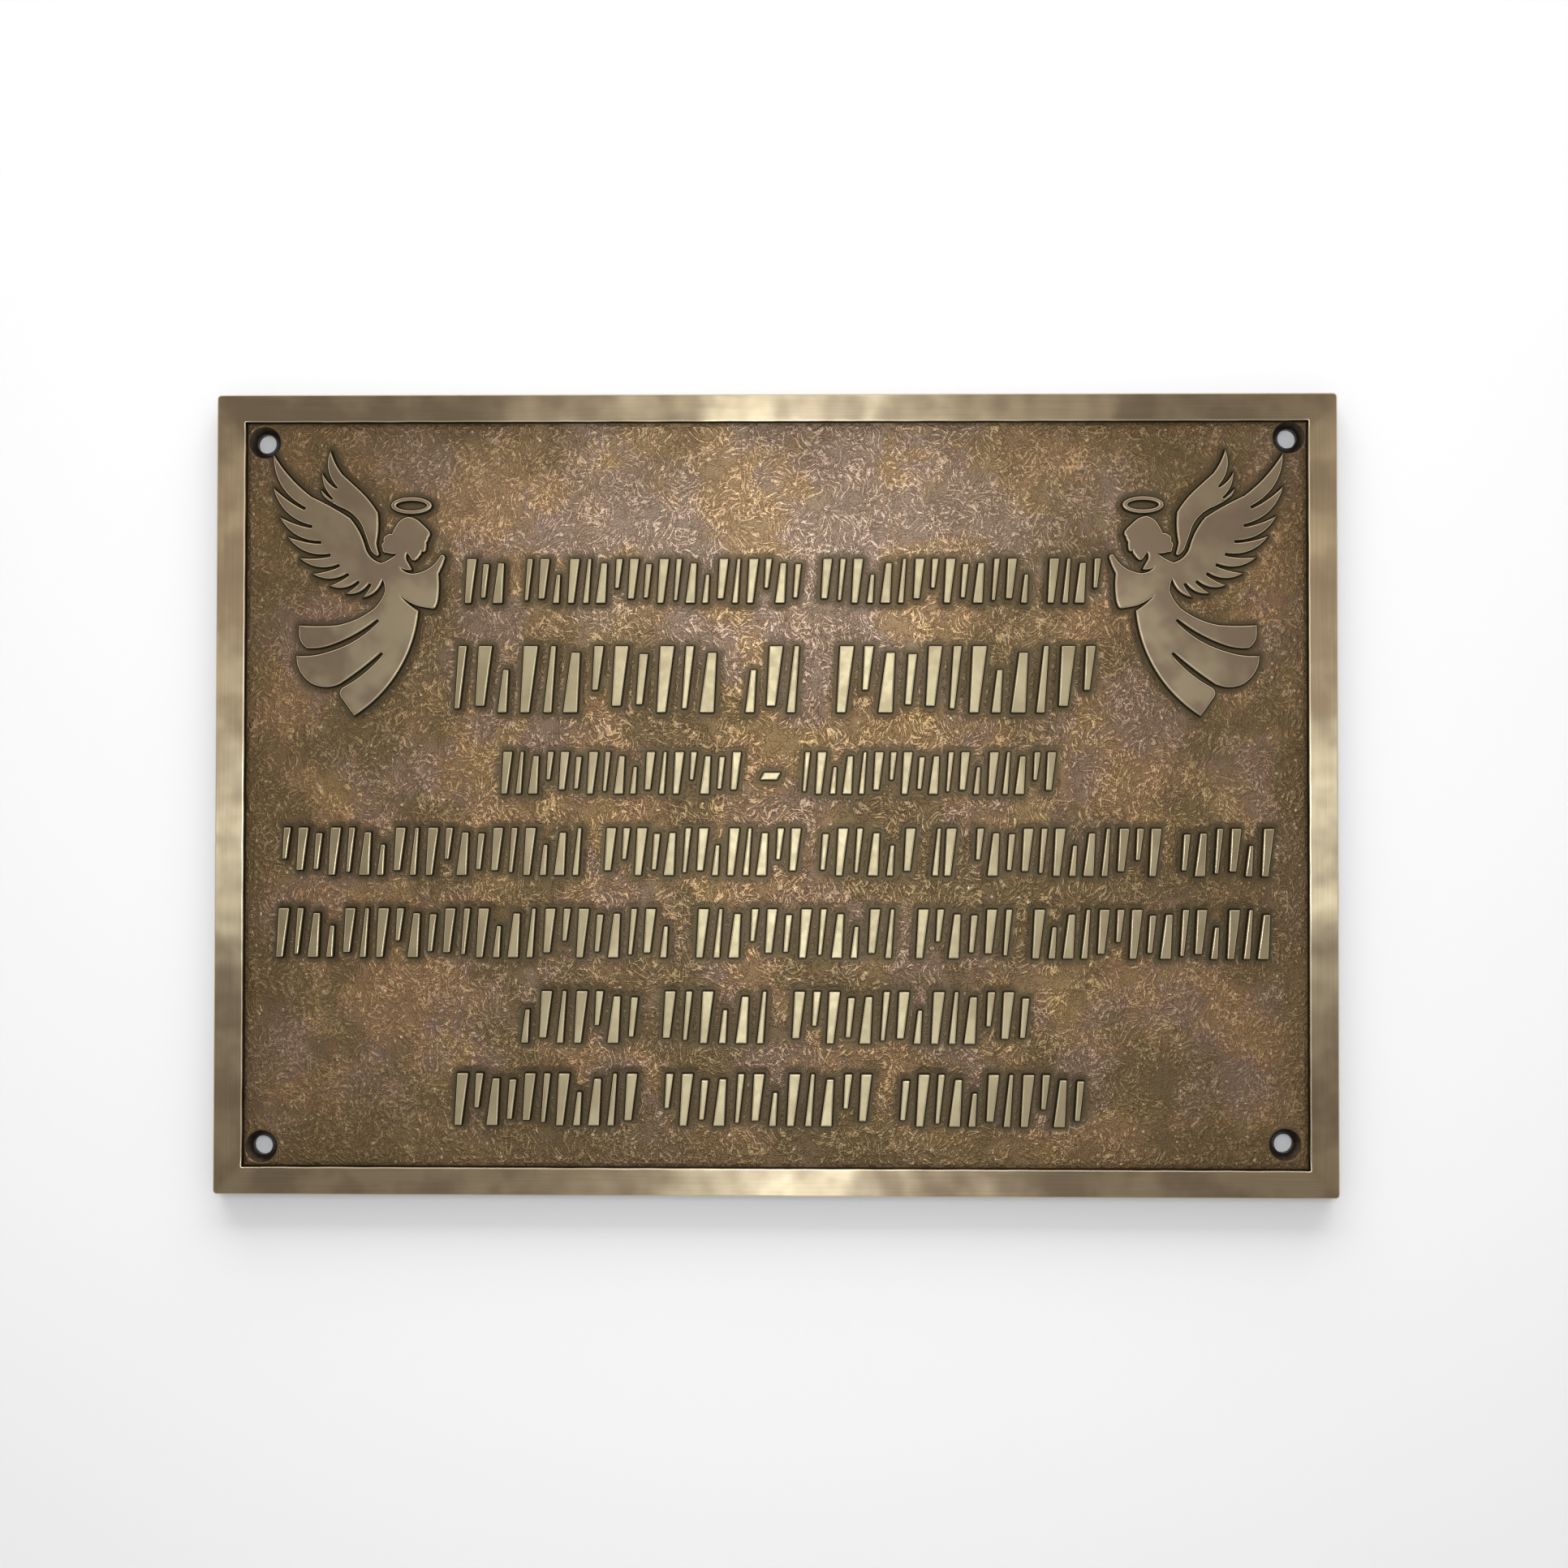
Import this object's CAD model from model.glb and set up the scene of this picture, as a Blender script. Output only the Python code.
"""Looks of a flat grave marker: a cast bronze plaque that lies on a pale floor.

The plate's body, its grained field, the two angels and the rows of strokes are
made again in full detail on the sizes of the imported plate. Units are metres, in
the plate's own frame: X along the length, Y towards the top of the face, Z up.
"""

import math

import bpy
import numpy as np
from mathutils import Matrix, Vector
from mathutils.geometry import tessellate_polygon
from mathutils.kdtree import KDTree


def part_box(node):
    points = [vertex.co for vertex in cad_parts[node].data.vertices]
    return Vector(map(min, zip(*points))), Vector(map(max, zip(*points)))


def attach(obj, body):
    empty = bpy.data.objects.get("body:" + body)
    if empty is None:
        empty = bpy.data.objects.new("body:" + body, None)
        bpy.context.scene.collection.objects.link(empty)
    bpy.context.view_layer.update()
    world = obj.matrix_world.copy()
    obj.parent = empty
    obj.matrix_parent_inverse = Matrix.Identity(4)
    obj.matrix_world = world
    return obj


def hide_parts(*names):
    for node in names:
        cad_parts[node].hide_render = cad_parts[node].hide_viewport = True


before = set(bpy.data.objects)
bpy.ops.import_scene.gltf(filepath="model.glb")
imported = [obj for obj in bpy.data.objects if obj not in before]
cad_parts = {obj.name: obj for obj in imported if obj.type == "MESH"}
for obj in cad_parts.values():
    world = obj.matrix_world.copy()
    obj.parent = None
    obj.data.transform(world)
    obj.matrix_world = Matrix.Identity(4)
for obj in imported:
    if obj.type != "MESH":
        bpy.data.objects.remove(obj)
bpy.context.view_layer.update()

NODE = "marker_plate"
BODY = "root"
MM = 0.001

# Plate: its length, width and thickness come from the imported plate
PLATE_LOW, PLATE_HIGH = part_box(NODE)
PLATE_LENGTH = PLATE_HIGH.x - PLATE_LOW.x
PLATE_WIDTH = PLATE_HIGH.y - PLATE_LOW.y
PLATE_THICKNESS = PLATE_HIGH.z
FIELD_DEPTH = 1.6 * MM
BORDER_SIDE = 8.9 * MM
BORDER_END = 8.5 * MM
CORNER_RADIUS = 1.2 * MM
INNER_CORNER_RADIUS = 0.4 * MM
EDGE_ROUND = 0.5 * MM
INNER_ROUND = 0.4 * MM
BACK_ROUND = 0.25 * MM
HIDDEN_DEPTH = 0.3 * MM
SUPPORT = 0.05 * MM
PERIMETER_STEP = 2.5 * MM
CORNER_SEGMENTS = 6
ROUND_SEGMENTS = 5
CORNERS = ((1, 1), (-1, 1), (-1, -1), (1, -1))
FIELD_Z = PLATE_THICKNESS - FIELD_DEPTH
FIELD_LENGTH = PLATE_LENGTH - 2 * BORDER_SIDE
FIELD_WIDTH = PLATE_WIDTH - 2 * BORDER_END

# The field's step wanders a little: how far, over what span, and how many of the body's rings it takes
WANDER_SIZE = 0.06 * MM
WANDER_SPAN = 6 * MM
STEP_RINGS = ROUND_SEGMENTS + 3

# The body's materials, in the order in which it gets them
ON_BORDER, ON_BACK, IN_HOLE = range(3)

# Screw holes, and how far each has drifted from its even place, by the side and end of the plate
BORE_RADIUS = 3 * MM
SINK_RADIUS = 4.9 * MM
SINK_OVERLAP = 0.05 * MM
SINK_DROP = 0.02 * MM
HOLE_INSET = 14.7 * MM
HOLE_DRIFTS = {
    (-1, 1): (0, 0),
    (1, 1): (0, 1.1 * MM),
    (-1, -1): (0, 0),
    (1, -1): (-1.7 * MM, 1.7 * MM),
}
HOLE_SEGMENTS = 64

# Field: the pitch of its net of points, and the distances in millimetres that each point keeps
FIELD_PITCH = 0.5 * MM
OUTLINE_PITCH = 0.12 * MM
DISTANCES = ("relief_distance", "edge_distance", "rim_distance")

# Grain, drawn in millimetres: curls and drifts, each bent by a noise of a scale and a reach
GRAIN_HEIGHT = 0.08 * MM
SWELL_HEIGHT = 0.05 * MM
SWELL_SCALE = 0.06
CURL_BEND = (0.3, 2.6)
CURL_SCALE = 0.7
CURL_SHIFT = (31, 17)
CURL_BREADTH = 0.075
CURL_GATE_SCALE = 0.3
CURL_GATE_SHIFT = (24, 26)
CURL_GATE = (0.42, 0.56)
CURL_SHARE = 0.8
DRIFT_BEND = (0.14, 5)
DRIFT_STRETCH = (0.36, 1.8, 0)
DRIFT_LINES = (0.52, 0.66)
DRIFT_GATE_SCALE = 0.1
DRIFT_GATE = (0.4, 0.54)
DRIFTS = (
    (0.35, (0, 0)),
    (1.4, (37, 11)),
    (2.45, (-29, 43)),
)

# Over which distances in millimetres the grain rises beside the relief, the field's step and the holes
RELIEF_CLEARANCE = (0.7, 2.8)
STEP_CLEARANCE = (0.3, 1.6)
HOLE_CLEARANCE = (0.1, 0.7)

# Relief
TINY = 1e-9
RIM = 0.6 * MM
RIM_HEIGHT = 0.28 * MM
RIM_SEGMENTS = 5
ROOM_SHARE = 0.8
SUPPORT_SHARE = 0.1
DRAFT = 0.12 * MM
BOW_STEP = 2.5
BOW_ERROR = 0.02
STROKE_CORNER = 0.3 * MM
STROKE_CORNER_SHARE = 0.35
STROKE_CORNER_SEGMENTS = 4
STROKE_SIDE_STEPS = 3
HALO_SEGMENTS = 72
SMOOTH_PASSES = 3
SHARP_ANGLE = math.radians(35)

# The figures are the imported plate's, but for cuts that are blunter, a little wider and deeper, and a
# thinner ring in the halo: x, y and bow, in hundredths of the figure's height, clockwise, the bow as a
# share of the stretch's length
FIGURE_HEIGHT = 0.3565 * FIELD_WIDTH
FIGURE_FOOT_RISE = 0.6045
LEFT_FIGURE_X = -0.392
RIGHT_FIGURE_X = 0.395
WING_FRONT = (
    (-32.5, 98.5, -0.05),
    (-18, 82.5, 0.02),
    (-3.5, 74.5, 0.06),
    (2.5, 63, -0.13),
    (8.5, 57.5, -0.04),
)
HAIR = (
    (14.5, 61, 0.05),
    (10.5, 61.5, 0.3),
    (9, 63, 0.25),
    (9.5, 65.5, 0.25),
    (10.5, 68, 0.15),
    (12.5, 68.5, 0.02),
    (14, 71.5, 0.12),
    (18.5, 75, 0.1),
    (23.5, 72.5, 0.03),
    (26.5, 69.5, 0.2),
)
NECK_AND_COLLAR = (
    (18, 58.5, 0.02),
    (20, 55, 0.1),
    (15.5, 56, -0.12),
)
SLEEVE = (
    (20.5, 53.5, -0.13),
    (31, 60.5, 0.3),
    (32.5, 59.5, 0.03),
    (30, 53.5, 0.03),
    (30, 44.5, 0.05),
    (29, 41, 0.2),
    (27.5, 40.5, 0.02),
    (22, 41.5, 0.05),
)
GOWN_FRONT = (
    (15.5, 45.5, -0.05),
    (22.5, 39.5, 0.04),
    (18.5, 23.5, 0.075),
)
GOWN_TRAIN = (
    (-1.5, 0, 0),
    (-6.5, 7, 0.2),
    (-6, 10.5, -0.05),
    (9.4, 23.1, 0),
    (8.6, 24, 0.02),
    (-7, 12, 0.115),
    (-17.5, 12, 0.09),
    (-23, 19, 0.02),
    (-23.5, 22.5, -0.05),
    (-11.5, 24, -0.07),
    (7.8, 35.6, 0),
    (7.1, 36.5, 0.045),
    (-11, 26.5, 0.05),
    (-19.5, 25.5, 0.12),
    (-22.5, 30.5, 0),
    (-22.5, 34, -0.02),
    (-8.5, 34, -0.065),
    (6, 40.5, -0.06),
    (10, 47, -0.05),
)
# Each feather: where the cut before it ends, and its tip
FEATHERS = (
    ((9, 51.5), (1.5, 44.5)),
    ((4, 49), (-5, 46)),
    ((-0.5, 50), (-11, 49)),
    ((-4.5, 53), (-17.5, 53.5)),
    ((-8, 56.5), (-22.5, 59.5)),
    ((-11.5, 60.5), (-27, 67.5)),
    ((-15, 65.5), (-30, 75)),
    ((-18.5, 71.5), (-32.5, 86)),
    ((-21, 78.5), (-32.5, 98.5)),
)
FEATHER_UNDER_BOW = 0.15
FEATHER_OVER_BOW = -0.045
CUT_BREADTH = 1.2
CUT_REACH = 0.8
REAR_WING = (
    (-11, 100, -0.05),
    (-6.5, 91, 0),
    (-1, 86, 0.04),
    (7, 76.5, 0.04),
    (6.5, 65, -0.02),
    (7.5, 61, 0.3),
    (6.5, 60.5, 0.05),
    (4.5, 62.5, 0),
    (1.5, 71, -0.1),
    (-6.5, 78.5, 0.03),
    (-12.5, 82, 0.1),
    (-14.5, 85.5, -0.04),
    (-10.4, 81.4, 0),
    (-9.8, 82, 0.11),
    (-14, 91.5, -0.08),
    (-8.7, 85.6, 0),
    (-8.1, 86.2, 0.15),
)
# The bowed head, and a plain profile in shares of its height
HEAD_PLACE = (20, 67.5)
HEAD_HEIGHT = 15.5
HEAD_BOW = math.radians(-28)
FACE_PROFILE = (
    (0.36, 0.17, 0.1),
    (0.37, 0.04, 0.06),
    (0.45, -0.15, 0.3),
    (0.37, -0.19, 0.1),
    (0.39, -0.26, 0.1),
    (0.38, -0.33, 0.1),
    (0.36, -0.42, 0.25),
    (0.27, -0.49, -0.02),
    (0.08, -0.4, -0.1),
)
HALO_PLACE = (19.8, 79.3)
HALO_OUTER = (7.6, 3.1)
HALO_INNER = (5.9, 1.85)

# The strokes that stand for the inscription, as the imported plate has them: each row's foot and height
# as shares of the field's width, and where its groups start and end as shares of the field's length
ROWS = (
    (0.756, 0.059, ((-0.294, -0.252), (-0.239, 0.028), (0.041, 0.243), (0.254, 0.308))),
    (0.609, 0.089, ((-0.307, -0.05), (-0.03, 0.028), (0.055, 0.304))),
    (0.5, 0.056, ((-0.259, -0.03), (0.023, 0.265))),
    (0.391, 0.063, ((-0.468, -0.177), (-0.162, 0.026), (0.039, 0.134), (0.147, 0.17),
                    (0.184, 0.363), (0.377, 0.468))),
    (0.281, 0.065, ((-0.471, -0.094), (-0.076, 0.117), (0.13, 0.226), (0.239, 0.466))),
    (0.167, 0.069, ((-0.24, -0.124), (-0.108, -0.002), (0.014, 0.242))),
    (0.057, 0.069, ((-0.302, -0.127), (-0.108, 0.093), (0.114, 0.293))),
)
DASH_ROW = 2
DASH_SPAN = (-0.013, 0.006)
DASH_RISE = 0.34
DASH_HEIGHT = 0.17
STROKE_PITCH = 0.34
STROKE_LEAN = 0.09

# Kinds of stroke: foot, head, breadth at the foot and breadth at the head, in row heights
THICK_STROKES = (
    (0, 1, 0.13, 0.21),
    (0, 0.9, 0.21, 0.13),
    (0.1, 1, 0.13, 0.2),
)
THIN_STROKES = (
    (0.12, 0.88, 0.09, 0.13),
    (0.06, 1, 0.07, 0.12),
    (0, 0.64, 0.13, 0.08),
    (0, 1, 0.12, 0.07),
    (0.34, 1, 0.08, 0.14),
)

# Colours, in linear light
RAISED_METAL = (0.276, 0.206, 0.125)
RAISED_METAL_DULL = (0.192, 0.133, 0.083)
STROKE_METAL = (0.40, 0.316, 0.183)
STROKE_METAL_DULL = (0.325, 0.250, 0.142)
RIM_METAL = (0.60, 0.48, 0.31)
BORDER_METAL = (0.40, 0.30, 0.185)
BORDER_METAL_DULL = (0.29, 0.213, 0.133)
BORDER_SIDE_TINT = (0.98, 0.97, 0.94)
STEP_METAL = (0.78, 0.65, 0.45)
SIDE_METAL = (0.24, 0.18, 0.115)
SPECK = (0.62, 0.50, 0.36)
CREVICE = (0.010, 0.007, 0.004)
GROUND_PURPLE = (0.212, 0.131, 0.085)
GROUND_TAN = (0.250, 0.144, 0.072)
GROUND_OLIVE = (0.145, 0.092, 0.043)
GROUND_GOLD = (0.264, 0.161, 0.067)
GROUND_SMOOTH = (0.074, 0.053, 0.028)
GROUND_WORN_MAUVE = (0.385, 0.264, 0.195)
GROUND_WORN_GOLD = (0.425, 0.270, 0.145)
SINK_BROWN = (0.036, 0.025, 0.017)
BACK_BROWN = (0.12, 0.09, 0.055)
FLOOR_WHITE = (0.644, 0.608, 0.587)
WHITE = (1, 1, 1)

# Blotches of the patina: the noise's scale and shift, the values that it comes in between, and its share
TAN_BLOTCHES = (0.03, None, 0.43, 0.57, 1)
OLIVE_BLOTCHES = (0.025, (20, 90), 0.44, 0.6, 0.85)
GOLD_BLOTCHES = (0.04, (50, 20), 0.5, 0.66, 0.7)

# Dark crevices beside the relief, the field's step and the holes: the distances that they fade between,
# in millimetres, and their share at the first and the last of these
RELIEF_CREVICE = (0.1, 0.9, 0.97, 0)
STEP_CREVICE = (0.1, 0.8, 0.97, 0)
HOLE_CREVICE = (0, 0.25, 0.6, 0)

# The rubbed patch of the field: its middle and its reach, in millimetres, and how ragged it is
WORN_PLACE = (0, 84, 0)
WORN_REACH = (95, 42, 1000)
WORN_RAGGEDNESS = 1.6

# How much the ridges of the grain are lighter than the ground
RIDGE_GAIN = 0.85

# How high up the plate the angels' metal grows dull, over what distance, in millimetres, and to what share
WINGS_DULL_ABOVE = 60
DULL_REACH = 18
DULL_SHARE = 0.6

# Roughness of the raised metal, its change from place to place, and its share where the edges are rubbed
ANGEL_ROUGHNESS = 0.435
STROKE_ROUGHNESS = 0.46
ROUGHNESS_CHANGE = 0.025
RUBBED_SHARE = 0.65

# Upward parts of the normal on which a rounded edge and a side wall show: steep, then flat
EDGE_TURN = (0.9, 0.998)
STROKE_EDGE_TURN = (0.96, 0.9995)
SIDE_TURN = (0.1, 0.5)
WALL_LIGHT_DROP = 0.35 * MM

# The border's brushed lines, and in millimetres where its outer part ends and half its mitre's breadth
LINE_ALONG = 0.03
LINE_ACROSS = 1.5
OUTER_PART = (3, 5)
MITRE = 4

# Floor
FLOOR_RADIUS = 1.8
FLOOR_SEGMENTS = 96
FLOOR_DROP = 0.02 * MM

# Camera, its turn in degrees
CAMERA_PLACE = (0.01123, -0.00533, 0.56037)
CAMERA_TURN = (0.8713, 0.8439, 0.071)
LENS = 40.88
SENSOR = 36

# Sky: its strength low down and overhead, the heights that it changes between, and its lean
SKY_LOW = 1.1
SKY_HIGH = 0.4
SKY_CHANGE = (0.35, 0.85)
SKY_LEAN = (0, 0.4, 0)

# Lights
PLATE_MIDDLE = (0, 0, 0)
KEY_PLACE = (0, -0.018, 0.62)
KEY_SIZE = 0.05
KEY_POWER = 1.25
KEY_COLOUR = (0.84, 1.02, 1.16)
GLOW_PLACE = (0.008, 0.14, 0.70)
GLOW_TARGET = (0, 0.03, 0)
GLOW_SIZE = (0.3, 0.16)
GLOW_POWER = 0.6
WINDOW_PLACE = (0, 2.0, 0.65)
WINDOW_SIZE = (3.0, 0.94)
WINDOW_POWER = 89
WINDOW_COLOUR = (0.93, 1, 1.06)


def bowed(path):
    """Points along a closed path whose entries are x, y and bow."""
    points = []
    for (x, y, bow), following in zip(path, path[1:] + path[:1]):
        start = Vector((x, y))
        along = Vector(following[:2]) - start
        outward = Vector((-along.y, along.x))
        length_steps = math.ceil(along.length / BOW_STEP)
        bow_steps = math.ceil(math.sqrt(abs(bow) * along.length / BOW_ERROR))
        steps = max(1, length_steps, bow_steps)
        for step in range(steps):
            share = step / steps
            points.append(start + along * share + outward * (4 * bow * share * (1 - share)))
    return points


def face():
    """The profile from under the hair to the jaw, set into the bowed head."""
    turn = Matrix.Rotation(HEAD_BOW, 2)
    entries = []
    for x, y, bow in FACE_PROFILE:
        place = Vector(HEAD_PLACE) + turn @ Vector((x, y)) * HEAD_HEIGHT
        entries.append((place.x, place.y, bow))
    return entries


def feathers():
    """The feathers' edges from cut to tip; each cut between two of them ends bluntly."""
    entries = []
    last_tip = None
    for cut_end, tip in FEATHERS:
        if last_tip is not None:
            along = (Vector(cut_end) - Vector(last_tip)).normalized()
            across = Vector((-along.y, along.x)) * CUT_BREADTH / 2
            deepest = Vector(cut_end) + along * CUT_REACH
            entries.append((*(deepest - across), 0))
            entries.append((*(deepest + across), FEATHER_UNDER_BOW))
        else:
            entries.append((*cut_end, FEATHER_UNDER_BOW))
        entries.append((*tip, FEATHER_OVER_BOW))
        last_tip = tip
    return entries[:-1]


def ellipse(radii):
    angles = np.arange(HALO_SEGMENTS) * math.tau / HALO_SEGMENTS
    reach = np.column_stack((radii[0] * np.cos(angles), radii[1] * np.sin(angles)))
    return np.array(HALO_PLACE) + reach


def area(points):
    x, y = points.T
    return np.sum(x * np.roll(y, -1) - np.roll(x, -1) * y) / 2


def wound(points, hole=False):
    """The outline turned so that the form lies on its left."""
    return points[::-1] if (area(points) > 0) == hole else points


def angel(foot, facing):
    """The solids of one angel: each is a list of outlines, the first one round the outside."""
    path = list(WING_FRONT) + list(HAIR) + face() + list(NECK_AND_COLLAR)
    path += list(SLEEVE) + list(GOWN_FRONT) + list(GOWN_TRAIN) + feathers()
    solids = (
        (np.array(bowed(path)),),
        (np.array(bowed(list(REAR_WING))),),
        (ellipse(HALO_OUTER), ellipse(HALO_INNER)),
    )
    unit = np.array((facing, 1)) * FIGURE_HEIGHT / 100
    placed = []
    for outside, *inside in solids:
        outlines = [wound(foot + outside * unit)]
        outlines += [wound(foot + hole * unit, hole=True) for hole in inside]
        placed.append(outlines)
    return placed


def angels():
    rise = (FIGURE_FOOT_RISE - 0.5) * FIELD_WIDTH
    left = np.array((LEFT_FIGURE_X * FIELD_LENGTH, rise))
    right = np.array((RIGHT_FIGURE_X * FIELD_LENGTH, rise))
    return {"angel_left": angel(left, 1), "angel_right": angel(right, -1)}


def softened(corners):
    """A straight-sided outline with small rounded corners and points along its sides."""
    corners = [Vector(corner) for corner in corners]
    points = []
    for index, corner in enumerate(corners):
        following = corners[(index + 1) % len(corners)]
        behind = corners[index - 1] - corner
        ahead = following - corner
        next_reach = min(STROKE_CORNER, STROKE_CORNER_SHARE * ahead.length)
        reach = min(next_reach, STROKE_CORNER_SHARE * behind.length)
        start = corner + behind.normalized() * reach
        end = corner + ahead.normalized() * reach
        for step in range(STROKE_CORNER_SEGMENTS + 1):
            share = step / STROKE_CORNER_SEGMENTS
            low = start.lerp(corner, share)
            high = corner.lerp(end, share)
            points.append(low.lerp(high, share))
        side_end = following - ahead.normalized() * next_reach
        for step in range(1, STROKE_SIDE_STEPS):
            points.append(end.lerp(side_end, step / STROKE_SIDE_STEPS))
    return wound(np.array(points))


def stroke(middle, row_foot, row_height, shape):
    """One tapered, leaning stroke."""
    foot, head, foot_breadth, head_breadth = shape
    corners = []
    for level, breadth, sides in ((foot, foot_breadth, (-1, 1)), (head, head_breadth, (1, -1))):
        leaned = middle + STROKE_LEAN * (level - 0.5) * row_height
        for side in sides:
            x = leaned + side * breadth / 2 * row_height
            corners.append((x, row_foot + level * row_height))
    return [softened(corners)]


def dash(row_foot, row_height):
    """The short stroke that lies between the two groups of the middle row."""
    left, right = (share * FIELD_LENGTH for share in DASH_SPAN)
    low = row_foot + DASH_RISE * row_height
    high = low + DASH_HEIGHT * row_height
    slant = DASH_HEIGHT * row_height / 2
    return [softened(((left, low), (right - slant, low), (right, high), (left + slant, high)))]


def stroke_rows():
    """The strokes of every row, by the name of the row's piece."""
    rows = {}
    for row, (foot, height, groups) in enumerate(ROWS):
        solids = []
        row_foot = (foot - 0.5) * FIELD_WIDTH
        row_height = height * FIELD_WIDTH
        place = row
        for start, end in groups:
            length = (end - start) * FIELD_LENGTH
            count = max(1, round(length / (STROKE_PITCH * row_height)))
            for index in range(count):
                middle = start * FIELD_LENGTH + (index + 0.5) * length / count
                kinds = THIN_STROKES if place % 2 else THICK_STROKES
                shape = kinds[(place // 2 + row) % len(kinds)]
                solids.append(stroke(middle, row_foot, row_height, shape))
                place += 1
        if row == DASH_ROW:
            solids.append(dash(row_foot, row_height))
        rows[f"strokes_row_{row + 1}"] = solids
    return rows


def inward(points):
    """Unit normals of a closed outline, into the form."""
    ahead = np.roll(points, -1, axis=0) - points
    ahead /= np.linalg.norm(ahead, axis=1, keepdims=True)
    along = ahead + np.roll(ahead, 1, axis=0)
    along /= np.maximum(np.linalg.norm(along, axis=1, keepdims=True), TINY)
    return np.column_stack((-along[:, 1], along[:, 0]))


def rim_widths(outlines, points, normals):
    """How far the rounded upper edge reaches in from each point, and the room there is."""
    across = points[None] - points[:, None]
    depth = np.einsum("ijk,ik->ij", across, normals)
    reach = np.einsum("ijk,ijk->ij", across, across)
    touching = np.where(depth > TINY, reach / (2 * np.maximum(depth, TINY)), np.inf)
    room = ROOM_SHARE * touching.min(axis=1)
    widths = np.minimum(RIM, room)
    start = 0
    for outline in outlines:
        part = slice(start, start + len(outline))
        for _ in range(SMOOTH_PASSES):
            now = widths[part]
            widths[part] = np.minimum((np.roll(now, 1) + 2 * now + np.roll(now, -1)) / 4, room[part])
        start += len(outline)
    return widths, room


def rounding(segments):
    """Steps over a rounded edge: the share that it has gone in, and the share still to rise."""
    for step in range(segments + 1):
        angle = math.pi / 2 * step / segments
        yield 1 - math.cos(angle), 1 - math.sin(angle)


def at_height(ring, height):
    return np.column_stack((ring, np.full(len(ring), height)))


def walls(here, count, rings, into_ring=False):
    """Quads between rings stacked upwards; here is one outline in the first ring of count points."""
    ahead = np.roll(here, -1)
    if into_ring:
        here, ahead = ahead, here
    faces = []
    for low in range(0, (rings - 1) * count, count):
        high = low + count
        faces += np.column_stack((low + here, low + ahead, high + ahead, high + here)).tolist()
    return faces


def flat_cap(outlines, places, facing):
    """Triangles that fill flat outlines, facing up (1) or down (-1); places are all their points."""
    loops = [[Vector((x / MM, y / MM, 0)) for x, y in outline[:, :2]] for outline in outlines]
    triangles = []
    for triangle in tessellate_polygon(loops):
        a, b, c = (places[corner] for corner in triangle)
        turn = (b[0] - a[0]) * (c[1] - a[1]) - (b[1] - a[1]) * (c[0] - a[0])
        triangles.append(triangle if facing * turn > 0 else triangle[::-1])
    return triangles


def relief_solid(outlines):
    """Points and faces of one raised form with a rounded upper edge."""
    points = np.concatenate(outlines)
    normals = np.concatenate([inward(outline) for outline in outlines])
    widths, room = rim_widths(outlines, points, normals)
    rings = [at_height(points - normals * DRAFT, FIELD_Z - HIDDEN_DEPTH)]
    for gone_in, to_rise in rounding(RIM_SEGMENTS):
        inset = widths * gone_in
        rings.append(at_height(points + normals * inset[:, None], PLATE_THICKNESS - RIM_HEIGHT * to_rise))
    inner = points + normals * (widths + np.minimum(SUPPORT, SUPPORT_SHARE * room))[:, None]
    rings.append(at_height(inner, PLATE_THICKNESS))
    count = len(points)
    faces = []
    edges = []
    start = 0
    for outline in outlines:
        here = start + np.arange(len(outline))
        faces += walls(here, count, len(rings))
        edges.append(inner[here])
        start += len(outline)
    top = (len(rings) - 1) * count
    for triangle in flat_cap(edges, inner / MM, 1):
        faces.append([top + corner for corner in triangle])
    return np.concatenate(rings), faces


def joined(solids):
    """Many solids' points and faces as one."""
    vertices = []
    faces = []
    start = 0
    for solid in solids:
        points, polygons = relief_solid(solid)
        vertices.append(points)
        faces += [[corner + start for corner in polygon] for polygon in polygons]
        start += len(points)
    return np.concatenate(vertices), faces


def new_piece(name, vertices, faces, *materials):
    mesh = bpy.data.meshes.new(name)
    mesh.from_pydata(vertices.tolist(), [], faces)
    for material in materials:
        mesh.materials.append(material)
    mesh.shade_smooth()
    mesh.set_sharp_from_angle(angle=SHARP_ANGLE)
    made = bpy.data.objects.new(name, mesh)
    bpy.context.scene.collection.objects.link(made)
    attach(made, BODY)
    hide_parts(NODE)
    return made


def holes():
    """Where the screw holes are, by the side and end of the plate."""
    places = {}
    for (side, end), drift in HOLE_DRIFTS.items():
        x = side * (PLATE_LENGTH / 2 - HOLE_INSET) + drift[0]
        y = end * (PLATE_WIDTH / 2 - HOLE_INSET) + drift[1]
        places[side, end] = np.array((x, y))
    return places


def rectangle(half_length, half_width, radius):
    """A rounded rectangle; all of them have the same number of points."""
    side_steps = (round(FIELD_LENGTH / PERIMETER_STEP), round(FIELD_WIDTH / PERIMETER_STEP))
    middles = []
    for side, end in CORNERS:
        middles.append(np.array((side * (half_length - radius), end * (half_width - radius))))
    points = []
    for quarter, middle in enumerate(middles):
        for step in range(CORNER_SEGMENTS + 1):
            angle = math.pi / 2 * (quarter + step / CORNER_SEGMENTS)
            outward = radius * np.array((math.cos(angle), math.sin(angle)))
            points.append(middle + outward)
        start = points[-1]
        end = middles[(quarter + 1) % len(middles)] + outward
        steps = side_steps[quarter % 2]
        for step in range(1, steps):
            points.append(start + (end - start) * step / steps)
    return np.array(points)


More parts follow.
